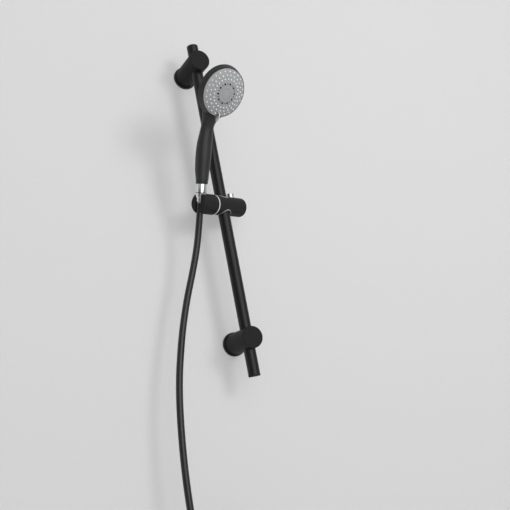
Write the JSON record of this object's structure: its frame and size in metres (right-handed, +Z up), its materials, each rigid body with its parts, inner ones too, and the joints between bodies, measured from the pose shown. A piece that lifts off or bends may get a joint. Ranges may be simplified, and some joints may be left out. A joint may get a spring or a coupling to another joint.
{
  "type": "shower slide rail",
  "caption": "Matte black wall rail for a shower: round bar on wall brackets, a locking slider with a tilting holder, a hand shower with a turning spray face, and its hose.",
  "frame": {"origin": "middle of the lower bracket's wall face, on the wall plane", "axes": "+Z up along the rail, +Y into the wall, +X to the right for someone facing the wall"},
  "size_m": [0.2614, 0.2471, 1.16],
  "materials": {
    "black_coated_metal": "satin black coating",
    "black_plastic": "satin",
    "pale_bearing_plastic": "plain",
    "steel": "plain",
    "chrome": "polished",
    "rubber": "plain",
    "grey_face_plastic": "satin",
    "silver_plastic": "satin silver",
    "pale_nozzle_rubber": "plain",
    "hose_plastic": "smooth"
  },
  "bodies": {
    "rail": {"rail_tube": "black_coated_metal", "rail_top_cap": "black_plastic", "rail_bottom_cap": "black_plastic", "lower_bracket": "black_coated_metal", "upper_bracket": "black_coated_metal", "lower_wall_plate": "black_coated_metal", "upper_wall_plate": "black_coated_metal", "bracket_grub_screws": "steel", "rail_set_screws": "steel"},
    "collar": {"brake_collar": "pale_bearing_plastic"},
    "slider": {"upper_guide_bush": "pale_bearing_plastic", "lower_guide_bush": "pale_bearing_plastic", "slider_body": "black_plastic", "slider_end_cap": "black_plastic", "brake_spring": "steel", "pivot_screw": "steel", "pivot_washer": "pale_bearing_plastic", "hose_tube": "hose_plastic", "hose_coil": "hose_plastic", "hose_tail": "hose_plastic", "coil_tie": "rubber", "hose_end_ferrule": "chrome", "hose_end_nut": "chrome", "hose_end_washer": "rubber"},
    "shoe": {"brake_shoe": "pale_bearing_plastic"},
    "button": {"lock_button": "chrome"},
    "holder": {"holder": "black_plastic", "hose_cone_nut": "chrome", "hose_nipple": "steel", "nut_washer": "rubber", "inlet_thread": "black_plastic", "handset_front_shell": "black_plastic", "handset_back_shell": "black_plastic", "diverter_disc": "pale_bearing_plastic", "spray_spindle": "steel"},
    "spray_face": {"face_plate": "grey_face_plastic", "centre_disc": "grey_face_plastic", "nozzles": "pale_nozzle_rubber", "selector_tab": "silver_plastic"}
  },
  "joints": [
    {"name": "rail_slide", "type": "slide", "parent": "rail", "child": "collar", "axis": [0, 0, 1], "range_m": [-0.239, 0.273]},
    {"name": "slider_swivel", "type": "hinge", "parent": "collar", "child": "slider", "pos_m": [0, -0.07, 0.289], "axis": [0, 0, 1], "range_deg": [-15, 60]},
    {"name": "holder_tilt", "type": "hinge", "parent": "slider", "child": "holder", "pos_m": [-0.06167, -0.09618, 0.289], "axis": [0.9205, 0.3907, 0], "range_deg": [-18, 27], "deforming": ["hose_tube"]},
    {"name": "spray_select", "type": "hinge", "parent": "holder", "child": "spray_face", "pos_m": [-0.02002, -0.21334, 0.48295], "axis": [0.1805, -0.7445, -0.6428], "range_deg": [-35, 35]},
    {"name": "button_press", "type": "slide", "parent": "slider", "child": "button", "axis": [0, 0, -1], "range_m": [0, 0.003], "stiffness_N_per_m": 900, "springref_m": -0.002},
    {"name": "shoe_slide", "type": "slide", "parent": "slider", "child": "shoe", "axis": [0.9205, 0.3907, 0], "range_m": [0, 0.0012], "deforming": ["brake_spring"]}
  ],
  "couplings": [
    {"joint": "shoe_slide", "follows": "button_press", "ratio": 0.4}
  ]
}
